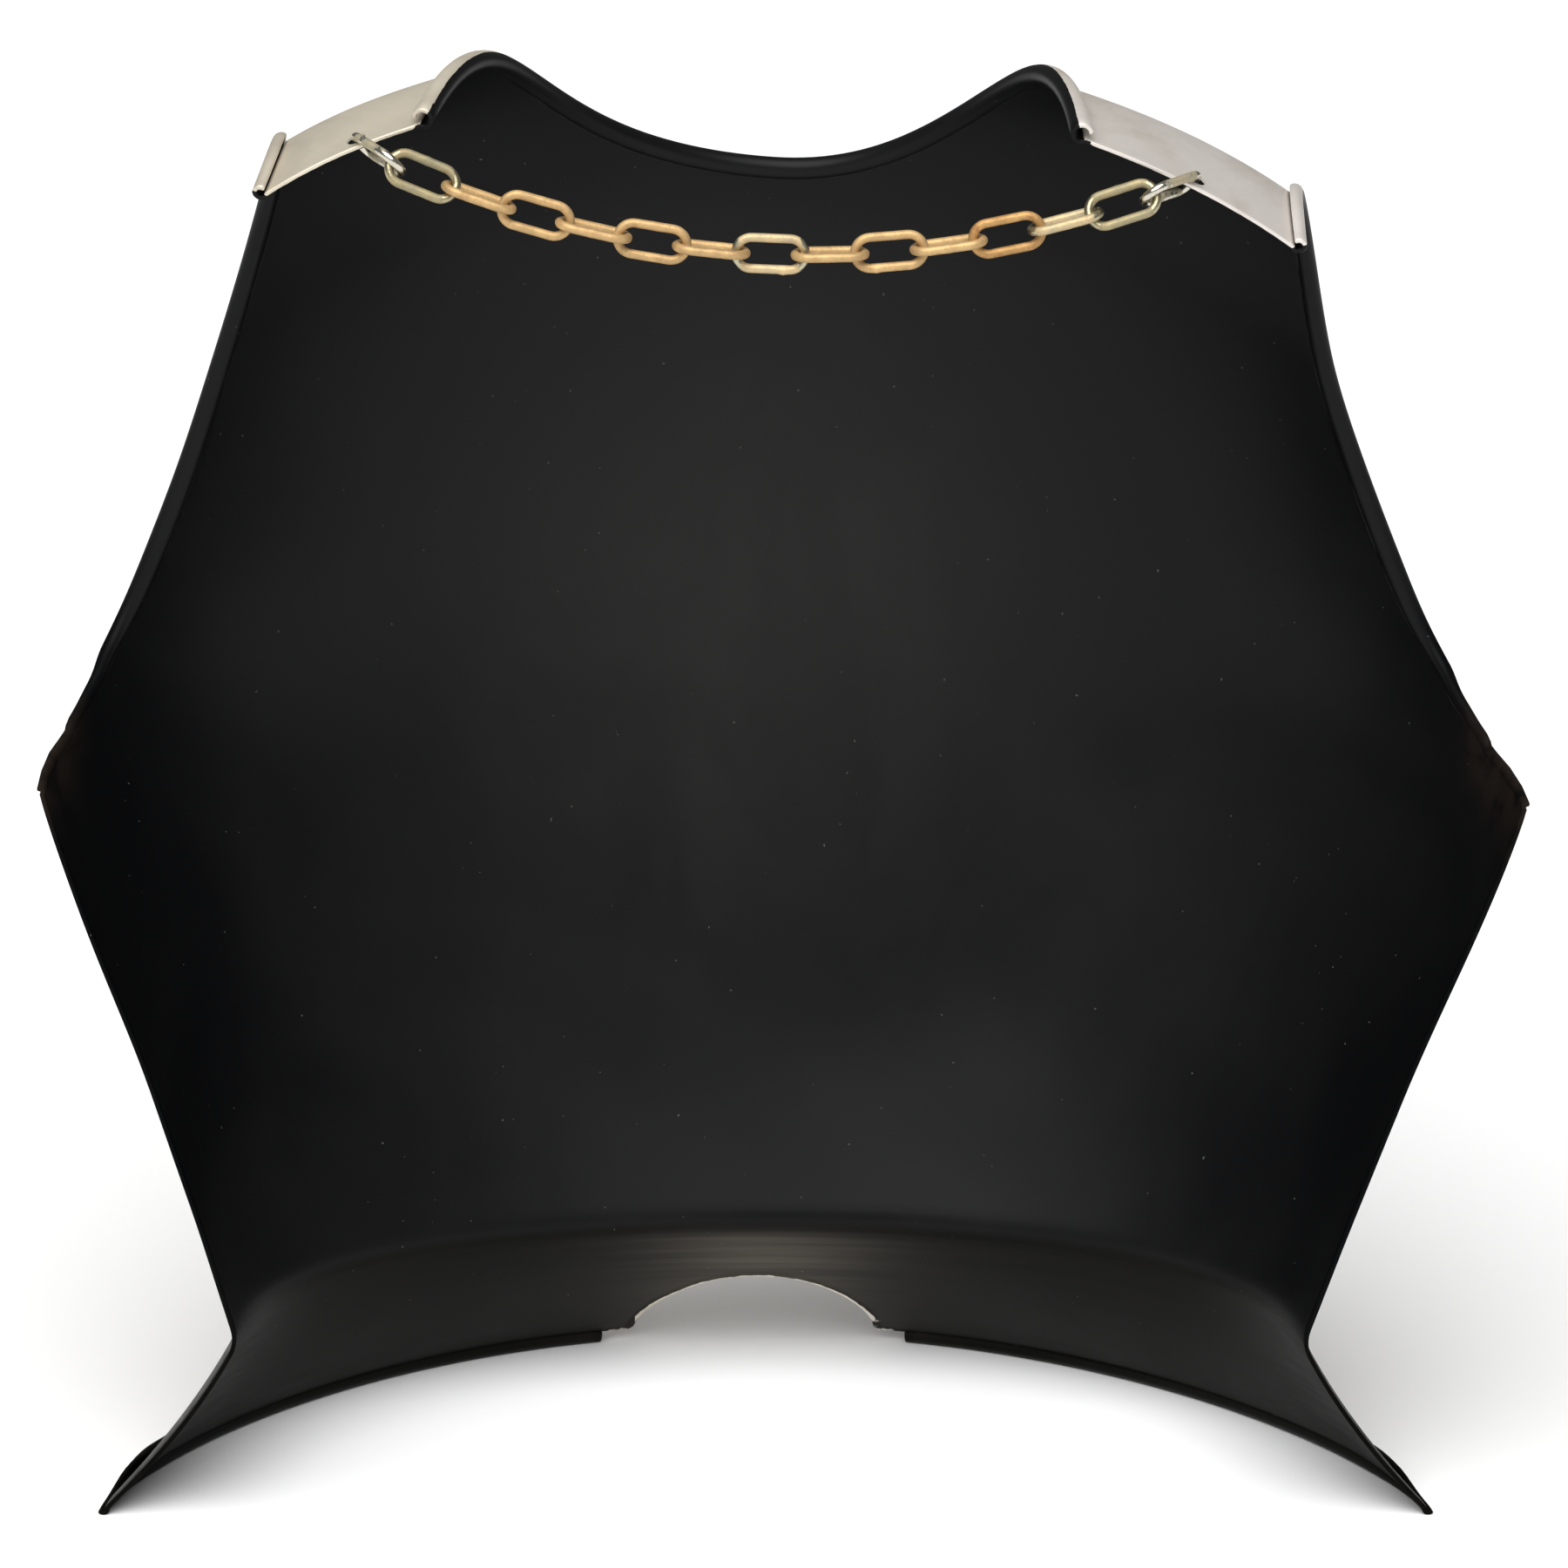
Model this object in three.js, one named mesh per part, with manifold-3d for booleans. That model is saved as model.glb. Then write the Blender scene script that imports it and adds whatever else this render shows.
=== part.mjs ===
// A steel breastplate with a waist flange, rolled edges and a hanging chain of oblong links.
// Millimetres, +Z up. The chest bulges towards -Y and the hollow side faces +Y.
// The plate stands on the flat underside of the roll along its flange.
import * as THREE from 'three';
import { mergeVertices } from 'three/addons/utils/BufferGeometryUtils.js';
import Module from 'manifold-3d';

const wasm = await Module();
wasm.setup();

// Sizes of the plate
const SHEET = 1.2;
const CHEST_WIDTH = 400;
const CHEST_DEPTH = 131;
const BODY_HEIGHT = 354;
const FLANGE_HEIGHT = 51.6;
const FLANGE_WIDTH = 370;
const FLANGE_DEPTH = 129;
const FLANGE_DISH = 3;
const FLANGE_BOW = 0.7;
const ARCH_WIDTH = 72;
const ARCH_SHARE = 0.54;
const ARCH_ROUND = 0.75;
const ROLL_GAP = 92;

// Rolled edges: radii of the sheet's middle, and how far round the sheet is turned, in degrees.
// An armhole's roll fades from LOW to HIGH, and closes to a tip over its first share from the
// armpit. The flange's roll closes to its tips from FLANGE_TIP_START, a share of half the
// flange's width. FLOOR_FACET is how many steps round its roll the flange's flat underside lies.
const FLANGE_ROLL = 3;
const FLANGE_ROLL_TURN = 308;
const FLANGE_TIP_ROLL = 1.2;
const FLANGE_TIP_TURN = 160;
const FLANGE_TIP_START = 0.93;
const NECK_ROLL = 2.4;
const EDGE_ROLL_START = 225;
const EDGE_ROLL_TURN = 290;
const ARM_ROLL_LOW = 3;
const ARM_ROLL_HIGH = 1.6;
const ARM_ROLL_FADE = 0.7;
const ARM_TIP_ROLL = 1;
const ARM_TIP_TURN = 140;
const ARM_TIP_SHARE = 0.45;
const ROLL_STEPS = 7;
const FLOOR_FACET = 2.5;

// Neck opening, as shares of the way across each side and of the way up the front line
const NECK_LEFT = 0.665;
const NECK_RIGHT = 0.547;
const NECK_LOW = 0.724;
const NECK_ROUND = 2;
const NECK_STEEP = 2.3;
const SHOULDER_LEFT = 0.992;
const SHOULDER_RIGHT = 1;

// Chain of oblong links, and the holes that it hangs from. The holes' places across are shares
// of each shoulder, and the end links turn and tip by angles in degrees.
const WIRE = 2.4;
const LINK_WIDTH = 10.6;
const LINK_PITCH = 15.4;
const LINK_PLAY = 0.3;
const CHAIN_SPARE = 1.015;
const HOLE = 5.2;
const HOLE_RIM_PLAY = 0.9;
const HOLE_FROM_EDGE = 4.6;
const HOLE_ACROSS_LEFT = 0.4;
const HOLE_ACROSS_RIGHT = 0.5;
const END_LINK_TURN = 46;
const END_LINK_DROP = 15;
const END_LINK_TIP_LEFT = 18;
const END_LINK_TIP_RIGHT = -18;
const END_LINK_PLAY = 0.65;
const FIRST_LINK_ROLL = -24;
const LAST_LINK_ROLL = -24;

// Sections from the waist fold (along 0) over the chest to the rear edge of the shoulders
// (along 1). forward and depth are shares of CHEST_DEPTH, up of BODY_HEIGHT, wide of half
// CHEST_WIDTH and sway of CHEST_WIDTH. tilt turns a section from level towards hanging down,
// round is its squareness (2 is an ellipse), and lean lifts one side above the other.
const SECTION_COLUMNS = ['along', 'forward', 'up', 'wide', 'depth', 'tilt', 'round', 'lean', 'sway'];
const SECTIONS = [
  [0, 0.664, 0, 0.735, 0.664, 0, 2.3, 0, 0],
  [0.19, 0.87, 0.207, 0.85, 0.87, 0, 2.3, 0.003, -0.002],
  [0.37, 1, 0.456, 0.995, 1, 2, 2.2, 0.006, -0.003],
  [0.54, 0.969, 0.634, 0.97, 1.038, 18, 2.1, 0.014, -0.002],
  [0.71, 0.763, 0.849, 0.87, 0.87, 42, 2, 0.03, 0],
  [0.86, 0.382, 0.995, 0.887, 0.785, 68, 2, 0.041, -0.001],
  [1, -0.049, 0.999, 0.948, 1.01, 95.6, 2, 0.037, 0.0095],
].map((row) => Object.fromEntries(row.map((value, i) => [SECTION_COLUMNS[i], value])));

// Armhole edge: how far round each section goes, in degrees from the middle
const ARMHOLE = [
  { along: 0.37, side: 90 },
  { along: 0.374, side: 81 },
  { along: 0.387, side: 74 },
  { along: 0.405, side: 69 },
  { along: 0.44, side: 65 },
  { along: 0.54, side: 60 },
  { along: 0.71, side: 57.8 },
  { along: 0.86, side: 48.6 },
  { along: 1, side: 44.8 },
];
const ARMPIT = ARMHOLE[0].along;

// Steps of the mesh
const ARCH_STEPS = 4;
const NECK_STEPS = 10;
const STRAP_STEPS = 4;
const ARCH_COLUMN = 0.22;
const LOW_ROWS = 7;
const HIGH_ROWS = 15;
const HIGH_ROW_BUNCHING = 1.3;
const FLANGE_ROWS = 3;
const LINK_SIDES = 6;
const LINK_BEND_STEPS = 6;
const HOLE_SIDES = 12;

// Shares of the rise between two points that give a slope, and limits of the search for the
// chain's sag
const SLOPE_STEP = 0.01;
const SAG_RANGE = [0.001, 20];
const SAG_TRIES = 60;

const PAINT_COLOR = 0x1f2022;
const LINK_COLOR = 0xb8935a;
const END_LINK_COLOR = 0x9c9482;

const UP = new THREE.Vector3(0, 0, 1);
const DEGREE = Math.PI / 180;
const HALF_CHEST = CHEST_WIDTH / 2;
const HALF_FLANGE = FLANGE_WIDTH / 2;
const LAST_COLUMN = NECK_STEPS + STRAP_STEPS;

const mix = (from, to, share) => from + (to - from) * share;
const signedPower = (value, power) => Math.sign(value) * Math.abs(value) ** power;

// A smooth value between the rows of a table
function lookUp(table, column, along) {
  const last = table.length - 1;
  const steps = [];
  const slopes = [];
  for (let i = 0; i < last; i += 1) {
    steps.push(table[i + 1].along - table[i].along);
    slopes.push((table[i + 1][column] - table[i][column]) / steps[i]);
  }
  const tangents = [0];
  for (let i = 1; i < last; i += 1) {
    const blend = steps[i - 1] / (steps[i - 1] + steps[i]);
    tangents.push(mix(slopes[i - 1], slopes[i], blend));
  }
  tangents[0] = 1.5 * slopes[0] - 0.5 * tangents[1];
  tangents.push(1.5 * slopes[last - 1] - 0.5 * tangents[last - 1]);
  let row = 0;
  while (row < last - 1 && along >= table[row + 1].along) row += 1;
  const u = THREE.MathUtils.clamp((along - table[row].along) / steps[row], 0, 1);
  const fromStart = (2 * u ** 3 - 3 * u ** 2 + 1) * table[row][column]
    + (u ** 3 - 2 * u ** 2 + u) * steps[row] * tangents[row];
  const fromEnd = (3 * u ** 2 - 2 * u ** 3) * table[row + 1][column]
    + (u ** 3 - u ** 2) * steps[row] * tangents[row + 1];
  return fromStart + fromEnd;
}

// A point of the plate's middle surface at an angle round from the front line
function sectionPoint(angle, along) {
  const at = (column) => lookUp(SECTIONS, column, along);
  const power = 2 / at('round');
  const sideways = at('wide') * HALF_CHEST * signedPower(Math.sin(angle), power);
  const inward = at('depth') * CHEST_DEPTH * (1 - Math.abs(Math.cos(angle)) ** power);
  const tilt = at('tilt') * DEGREE;
  return new THREE.Vector3(
    sideways + at('sway') * CHEST_WIDTH,
    -at('forward') * CHEST_DEPTH + Math.cos(tilt) * inward,
    FLANGE_HEIGHT + at('up') * BODY_HEIGHT - Math.sin(tilt) * inward + at('lean') * sideways,
  );
}

// How far up the front line the plate reaches at a share of the way across
function topOfPlate(across) {
  const neck = across > 0 ? NECK_LEFT : NECK_RIGHT;
  const top = across > 0 ? SHOULDER_LEFT : SHOULDER_RIGHT;
  const share = Math.min(Math.abs(across) / neck, 1);
  return top - (top - NECK_LOW) * (1 - share ** NECK_ROUND) ** (1 / NECK_STEEP);
}

// The plate's middle surface: across from -1 to 1, rise from 0 at the fold to 1 at the top edge
function platePoint(across, rise) {
  const side = rise <= ARMPIT ? ARMHOLE[0].side : lookUp(ARMHOLE, 'side', rise);
  const along = rise - (1 - topOfPlate(across)) * rise ** 3;
  return sectionPoint(across * side * DEGREE, along);
}

// The share across of each column of the mesh: the arch, the rest of the neck, the shoulder
function columnShare(column) {
  const index = Math.abs(column);
  const neck = column > 0 ? NECK_LEFT : NECK_RIGHT;
  const afterArch = (index - ARCH_STEPS) / (NECK_STEPS - ARCH_STEPS);
  let share = mix(neck, 1, (index - NECK_STEPS) / STRAP_STEPS);
  if (index < NECK_STEPS) share = mix(ARCH_COLUMN, neck, Math.sin(afterArch * Math.PI / 2));
  if (index <= ARCH_STEPS) share = ARCH_COLUMN * index / ARCH_STEPS;
  return Math.sign(column) * share;
}

function rowRise(row) {
  if (row <= LOW_ROWS) return ARMPIT * row / LOW_ROWS;
  return mix(ARMPIT, 1, ((row - LOW_ROWS) / HIGH_ROWS) ** HIGH_ROW_BUNCHING);
}

// Where a column meets the flange's lower edge, as a share of half the flange's width
function flangeShare(column) {
  const index = Math.abs(column);
  const arch = ARCH_WIDTH / FLANGE_WIDTH;
  const firstAngle = Math.asin(ROLL_GAP / FLANGE_WIDTH);
  const outward = (index - ARCH_STEPS - 1) / (LAST_COLUMN - ARCH_STEPS - 1);
  let share = Math.sin(mix(firstAngle, Math.PI / 2, outward));
  if (index <= ARCH_STEPS) share = arch * Math.sin(index / ARCH_STEPS * Math.PI / 2);
  return Math.sign(column) * share;
}

// The flange's middle surface: down from 0 at the fold to 1 where its roll begins
const rollStepAngle = FLANGE_ROLL_TURN / ROLL_STEPS;
const flangeRollStart = 360 - FLOOR_FACET * rollStepAngle;
const rollOuter = FLANGE_ROLL + SHEET / 2;
const flangeRollHeight = rollOuter * Math.cos(rollStepAngle / 2 * DEGREE);

// The flange's roll at a share of half the flange's width
function flangeRoll(share) {
  const closed = THREE.MathUtils.smoothstep(Math.abs(share), FLANGE_TIP_START, 1);
  return {
    radius: mix(FLANGE_ROLL, FLANGE_TIP_ROLL, closed),
    turn: mix(FLANGE_ROLL_TURN, FLANGE_TIP_TURN, closed),
  };
}

function flangeEdge(share) {
  const { radius } = flangeRoll(share);
  const outer = radius + SHEET / 2;
  const curve = Math.max(1 - share ** 2, 0) ** FLANGE_BOW;
  return new THREE.Vector3(
    share * (HALF_FLANGE - outer),
    -(FLANGE_DEPTH - outer) * curve,
    Math.min(flangeRollHeight, outer) - radius * Math.cos(flangeRollStart * DEGREE),
  );
}

function foldShare(column) {
  const angle = columnShare(column) * ARMHOLE[0].side * DEGREE;
  return signedPower(Math.sin(angle), 2 / SECTIONS[0].round);
}

function foldPoint(share) {
  const angle = Math.asin(signedPower(share, SECTIONS[0].round / 2));
  return sectionPoint(angle, 0);
}

function flangePoint(column, down) {
  const share = mix(foldShare(column), flangeShare(column), down);
  const fold = foldPoint(share);
  const edge = flangeEdge(share);
  const point = fold.clone().lerp(edge, down);
  const run = edge.clone().sub(fold);
  const inward = new THREE.Vector3(-run.x, -run.y, 0).normalize();
  return point.addScaledVector(inward, FLANGE_DISH * 4 * down * (1 - down));
}

// The arched cut-out: how far down the flange reaches in each column
function flangeReach(column) {
  const fromMiddle = Math.abs(flangeShare(column)) * FLANGE_WIDTH / ARCH_WIDTH;
  return 1 - ARCH_SHARE * Math.max(1 - fromMiddle ** 2, 0) ** ARCH_ROUND;
}

// A growing sheet of points and triangles, which is given its thickness at the end
class Sheet {
  constructor() {
    this.points = [];
    this.triangles = [];
  }

  add(point) {
    this.points.push(point);
    return this.points.length - 1;
  }

  // Joins two rows of point numbers of the same length
  join(lower, upper) {
    for (let i = 0; i + 1 < lower.length; i += 1) {
      this.triangles.push([lower[i], lower[i + 1], upper[i + 1]]);
      this.triangles.push([lower[i], upper[i + 1], upper[i]]);
    }
  }

  normals() {
    const sums = this.points.map(() => new THREE.Vector3());
    for (const [a, b, c] of this.triangles) {
      const corners = [this.points[a], this.points[b], this.points[c]];
      const face = new THREE.Triangle(...corners).getNormal(new THREE.Vector3());
      [a, b, c].forEach((point, i) => {
        const first = corners[(i + 1) % 3].clone().sub(corners[i]);
        const second = corners[(i + 2) % 3].clone().sub(corners[i]);
        sums[point].addScaledVector(face, first.angleTo(second));
      });
    }
    return sums.map((sum) => sum.normalize());
  }

  // A closed body: both faces of the sheet and a wall along its free edges. Corners that nearly
  // reach the base are put level with it.
  thicken(thickness, baseHeight) {
    const normals = this.normals();
    const positions = [];
    for (const side of [0.5, -0.5]) {
      this.points.forEach((point, i) => {
        const moved = point.clone().addScaledVector(normals[i], side * thickness);
        if (Math.abs(moved.z - baseHeight) < thickness / 4) moved.z = baseHeight;
        positions.push(moved.x, moved.y, moved.z);
      });
    }
    const count = this.points.length;
    const used = new Set();
    for (const [a, b, c] of this.triangles) {
      [[a, b], [b, c], [c, a]].forEach(([from, to]) => used.add(`${from} ${to}`));
    }
    const indices = [];
    for (const [a, b, c] of this.triangles) {
      indices.push(a, b, c, a + count, c + count, b + count);
      for (const [from, to] of [[a, b], [b, c], [c, a]]) {
        if (used.has(`${to} ${from}`)) continue;
        indices.push(from, from + count, to + count, from, to + count, to);
      }
    }
    const geometry = new THREE.BufferGeometry();
    geometry.setAttribute('position', new THREE.Float32BufferAttribute(positions, 3));
    geometry.setIndex(indices);
    return geometry;
  }
}

// An armhole's roll at a share of the way up from the armpit
function armRoll(share) {
  const full = THREE.MathUtils.smoothstep(share, 0, ARM_TIP_SHARE);
  const radius = mix(ARM_ROLL_LOW, ARM_ROLL_HIGH, share ** ARM_ROLL_FADE);
  return { radius: mix(ARM_TIP_ROLL, radius, full), turn: mix(ARM_TIP_TURN, EDGE_ROLL_TURN, full) };
}

// Turns the sheet over along an edge into a hollow roll. ahead leads out of the sheet across
// the edge and outside is the side that the sheet is turned to.
function addRoll(sheet, edge, frames, start, rollAt) {
  const rows = edge.map((number, station) => {
    const { ahead, outside } = frames[station];
    const { radius, turn } = rollAt(station / (edge.length - 1));
    const around = (angle) => new THREE.Vector3()
      .addScaledVector(ahead, radius * Math.cos(angle * DEGREE))
      .addScaledVector(outside, radius * Math.sin(angle * DEGREE));
    const centre = sheet.points[number].clone().sub(around(start));
    const row = [number];
    for (let step = 1; step <= ROLL_STEPS; step += 1) {
      row.push(sheet.add(centre.clone().add(around(start + turn * step / ROLL_STEPS))));
    }
    return row;
  });
  for (let i = 0; i + 1 < rows.length; i += 1) sheet.join(rows[i], rows[i + 1]);
}

// Directions at each point of an edge that runs anticlockwise round the sheet's outside
function edgeFrames(points, outsideAt) {
  return points.map((point, i) => {
    const before = points[Math.max(i - 1, 0)];
    const after = points[Math.min(i + 1, points.length - 1)];
    const tangent = after.clone().sub(before).normalize();
    const ahead = tangent.clone().cross(outsideAt(i, tangent)).normalize();
    const outside = ahead.clone().cross(tangent);
    return { ahead, outside };
  });
}

function buildPlate() {
  const sheet = new Sheet();
  const columns = [];
  for (let column = -LAST_COLUMN; column <= LAST_COLUMN; column += 1) columns.push(column);
  const rowCount = LOW_ROWS + HIGH_ROWS;

  // The body of the plate, from the fold up
  const rows = [];
  for (let row = 0; row <= rowCount; row += 1) {
    rows.push(columns.map((column) => sheet.add(platePoint(columnShare(column), rowRise(row)))));
  }
  for (let row = 0; row < rowCount; row += 1) sheet.join(rows[row], rows[row + 1]);

  // The flange, from the fold down
  const flange = [rows[0]];
  for (let row = 1; row <= FLANGE_ROWS; row += 1) {
    flange.push(columns.map((column) => (
      sheet.add(flangePoint(column, flangeReach(column) * row / FLANGE_ROWS)))));
  }
  for (let row = 0; row < FLANGE_ROWS; row += 1) sheet.join(flange[row + 1], flange[row]);

  // Rolls along the neck and the armholes
  const normals = sheet.normals();
  const armRows = rows.slice(LOW_ROWS);
  const neck = rows[rowCount].slice(STRAP_STEPS, -STRAP_STEPS).reverse();
  const leftArmhole = armRows.map((row) => row[row.length - 1]);
  const rightArmhole = armRows.map((row) => row[0]).reverse();
  for (const [edge, rollAt] of [
    [neck, () => ({ radius: NECK_ROLL, turn: EDGE_ROLL_TURN })],
    [leftArmhole, armRoll],
    [rightArmhole, (share) => armRoll(1 - share)],
  ]) {
    const points = edge.map((number) => sheet.points[number]);
    const frames = edgeFrames(points, (i) => normals[edge[i]]);
    addRoll(sheet, edge, frames, EDGE_ROLL_START, rollAt);
  }

  // Rolls along the flange's lower edge, kept level so that the plate can stand on them
  const low = flange[FLANGE_ROWS];
  const rolled = LAST_COLUMN - ARCH_STEPS;
  for (const [edge, first, last] of [
    [low.slice(0, rolled), -LAST_COLUMN, -ARCH_STEPS - 1],
    [low.slice(-rolled), ARCH_STEPS + 1, LAST_COLUMN],
  ]) {
    const points = edge.map((number) => sheet.points[number]);
    const frames = edgeFrames(points, (i, tangent) => tangent.clone().cross(UP));
    const rollAt = (share) => flangeRoll(flangeShare(mix(first, last, share)));
    addRoll(sheet, edge, frames, flangeRollStart, rollAt);
  }
  return sheet.thicken(SHEET, 0);
}

// A three.js geometry as a solid, and back
function toSolid(geometry) {
  const bare = geometry.clone();
  bare.deleteAttribute('normal');
  bare.deleteAttribute('uv');
  const merged = mergeVertices(bare);
  const mesh = new wasm.Mesh({
    numProp: 3,
    vertProperties: new Float32Array(merged.attributes.position.array),
    triVerts: new Uint32Array(merged.index.array),
  });
  return new wasm.Manifold(mesh);
}

function toGeometry(solid) {
  const mesh = solid.getMesh();
  const geometry = new THREE.BufferGeometry();
  geometry.setAttribute('position', new THREE.BufferAttribute(mesh.vertProperties, 3));
  geometry.setIndex(new THREE.BufferAttribute(mesh.triVerts, 1));
  return geometry;
}

// A shoulder's hole: its middle, the way out of the plate, to the rear and to the plate's middle
function shoulderHole(side) {
  const neck = side > 0 ? NECK_LEFT : NECK_RIGHT;
  const across = side * mix(neck, 1, side > 0 ? HOLE_ACROSS_LEFT : HOLE_ACROSS_RIGHT);
  const step = SLOPE_STEP;
  const edge = platePoint(across, 1);
  const rise = 1 - HOLE_FROM_EDGE * step / edge.distanceTo(platePoint(across, 1 - step));
  const middle = platePoint(across, rise);
  const rear = platePoint(across, rise + step).sub(middle).normalize();
  const beside = platePoint(across - side * step, rise).sub(middle).normalize();
  const outside = rear.clone().cross(beside).multiplyScalar(side).normalize();
  const inward = outside.clone().cross(rear).multiplyScalar(side);
  return { side, middle, outside, rear, inward };
}

function drill({ middle, outside }) {
  const geometry = new THREE.CylinderGeometry(HOLE / 2, HOLE / 2, HOLE, HOLE_SIDES);
  const axis = new THREE.Vector3(0, 1, 0);
  geometry.applyQuaternion(new THREE.Quaternion().setFromUnitVectors(axis, outside));
  geometry.translate(middle.x, middle.y, middle.z);
  return toSolid(geometry);
}

// One oblong link round the origin: long way along X, lying in the XY plane
const linkInside = LINK_PITCH + LINK_PLAY;

function linkGeometry() {
  const bend = (LINK_WIDTH - WIRE) / 2;
  const straight = linkInside + WIRE - 2 * bend;
  const stations = [];
  for (const end of [0, 1]) {
    for (let step = 0; step <= LINK_BEND_STEPS; step += 1) {
      const angle = (end + step / LINK_BEND_STEPS - 0.5) * Math.PI;
      const out = new THREE.Vector3(Math.cos(angle), Math.sin(angle), 0);
      const centre = new THREE.Vector3((0.5 - end) * straight, 0, 0);
      stations.push({ out, centre: centre.addScaledVector(out, bend) });
    }
  }
  const positions = [];
  const indices = [];
  stations.forEach(({ out, centre }, station) => {
    const next = (station + 1) % stations.length;
    for (let i = 0; i < LINK_SIDES; i += 1) {
      const angle = 2 * Math.PI * i / LINK_SIDES;
      const point = centre.clone().addScaledVector(out, WIRE / 2 * Math.cos(angle));
      positions.push(point.x, point.y, point.z + WIRE / 2 * Math.sin(angle));
      const [a, b] = [i, (i + 1) % LINK_SIDES].map((side) => station * LINK_SIDES + side);
      const [c, d] = [i, (i + 1) % LINK_SIDES].map((side) => next * LINK_SIDES + side);
      indices.push(a, c, d, a, d, b);
    }
  });
  const geometry = new THREE.BufferGeometry();
  geometry.setAttribute('position', new THREE.Float32BufferAttribute(positions, 3));
  geometry.setIndex(indices);
  return geometry;
}

// A link with its long way along one direction and its flat facing as near another as it can
function addLink(group, name, centre, along, facing, color) {
  const material = new THREE.MeshStandardMaterial({ color, roughness: 0.45, metalness: 0.85 });
  const link = new THREE.Mesh(linkGeometry(), material);
  const flat = facing.clone().addScaledVector(along, -facing.dot(along)).normalize();
  const beside = flat.clone().cross(along);
  link.setRotationFromMatrix(new THREE.Matrix4().makeBasis(along, beside, flat));
  link.position.copy(centre);
  link.name = name;
  group.add(link);
}

// An end link goes through its hole and round the rear edge, towards the plate's middle
function endLink(hole) {
  const turn = END_LINK_TURN * DEGREE;
  const along = hole.inward.clone().multiplyScalar(Math.cos(turn))
    .addScaledVector(hole.rear, Math.sin(turn))
    .addScaledVector(hole.outside, -Math.tan(END_LINK_DROP * DEGREE))
    .normalize();
  const tip = (hole.side > 0 ? END_LINK_TIP_LEFT : END_LINK_TIP_RIGHT) * DEGREE;
  const facing = hole.outside.clone().cross(along).applyAxisAngle(along, tip);
  const reach = HOLE / 2 + linkInside / 2 - HOLE_RIM_PLAY;
  const centre = hole.middle.clone().addScaledVector(along, reach);
  const joint = centre.clone().addScaledVector(along, LINK_PITCH / 2 - END_LINK_PLAY);
  return { centre, along, facing, joint };
}

// Where the links meet: points one pitch apart on a line that hangs between two ends
function hangingPoints(start, end) {
  const run = end.clone().sub(start).setZ(0);
  const span = run.length();
  const rise = end.z - start.z;
  const straight = Math.hypot(span, rise);
  const links = 2 * Math.ceil((straight * CHAIN_SPARE / LINK_PITCH - 1) / 2) + 1;
  const length = links * LINK_PITCH;
  const level = Math.sqrt(length ** 2 - rise ** 2);
  let [low, high] = SAG_RANGE;
  for (let i = 0; i < SAG_TRIES; i += 1) {
    const middle = (low + high) / 2;
    if (Math.sinh(middle) / middle > level / span) high = middle;
    else low = middle;
  }
  const size = span / (2 * low);
  const lowest = span / 2 - size * Math.atanh(rise / length);
  const heightAt = (x) => size * (Math.cosh((x - lowest) / size) - Math.cosh(lowest / size));
  const points = [];
  for (let i = 0; i <= links; i += 1) {
    const x = lowest + size * Math.asinh(i * LINK_PITCH / size - Math.sinh(lowest / size));
    const point = start.clone().addScaledVector(run, x / span);
    points.push(point.setZ(start.z + heightAt(x)));
  }
  return points;
}

function addChain(group, left, right) {
  addLink(group, 'end_link_left', left.centre, left.along, left.facing, END_LINK_COLOR);
  addLink(group, 'end_link_right', right.centre, right.along, right.facing, END_LINK_COLOR);
  const points = hangingPoints(left.joint, right.joint);
  for (let i = 1; i < points.length; i += 1) {
    const along = points[i].clone().sub(points[i - 1]).normalize();
    const centre = points[i].clone().add(points[i - 1]).multiplyScalar(0.5);
    const level = along.clone().cross(UP).normalize();
    const facing = i % 2 === 1 ? level : level.clone().cross(along);
    if (i === 1) facing.applyAxisAngle(along, FIRST_LINK_ROLL * DEGREE);
    if (i === points.length - 1) facing.applyAxisAngle(along, LAST_LINK_ROLL * DEGREE);
    addLink(group, `chain_link_${String(i).padStart(2, '0')}`, centre, along, facing, LINK_COLOR);
  }
}

// The whole thing, with the origin on the floor under the middle of its box
function buildBreastplate() {
  const holes = [1, -1].map(shoulderHole);
  const plate = holes.reduce((solid, hole) => solid.subtract(drill(hole)), toSolid(buildPlate()));
  const paint = new THREE.MeshStandardMaterial({ color: PAINT_COLOR, roughness: 0.45, metalness: 0.3 });
  const breastplate = new THREE.Mesh(toGeometry(plate), paint);
  breastplate.name = 'breastplate';

  const body = new THREE.Group();
  body.add(breastplate);
  addChain(body, ...holes.map(endLink));
  const box = new THREE.Box3().setFromObject(body, true);
  const middle = box.getCenter(new THREE.Vector3());
  body.position.set(-middle.x, -middle.y, -box.min.z);

  const group = new THREE.Group();
  group.add(body);
  group.updateMatrixWorld(true);
  return group;
}

export default buildBreastplate();
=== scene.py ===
"""A steel breastplate standing on its waist flange, seen from its hollow, painted side."""

import math

import bpy
import numpy as np
from mathutils import Matrix, Vector
from mathutils.kdtree import KDTree


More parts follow.
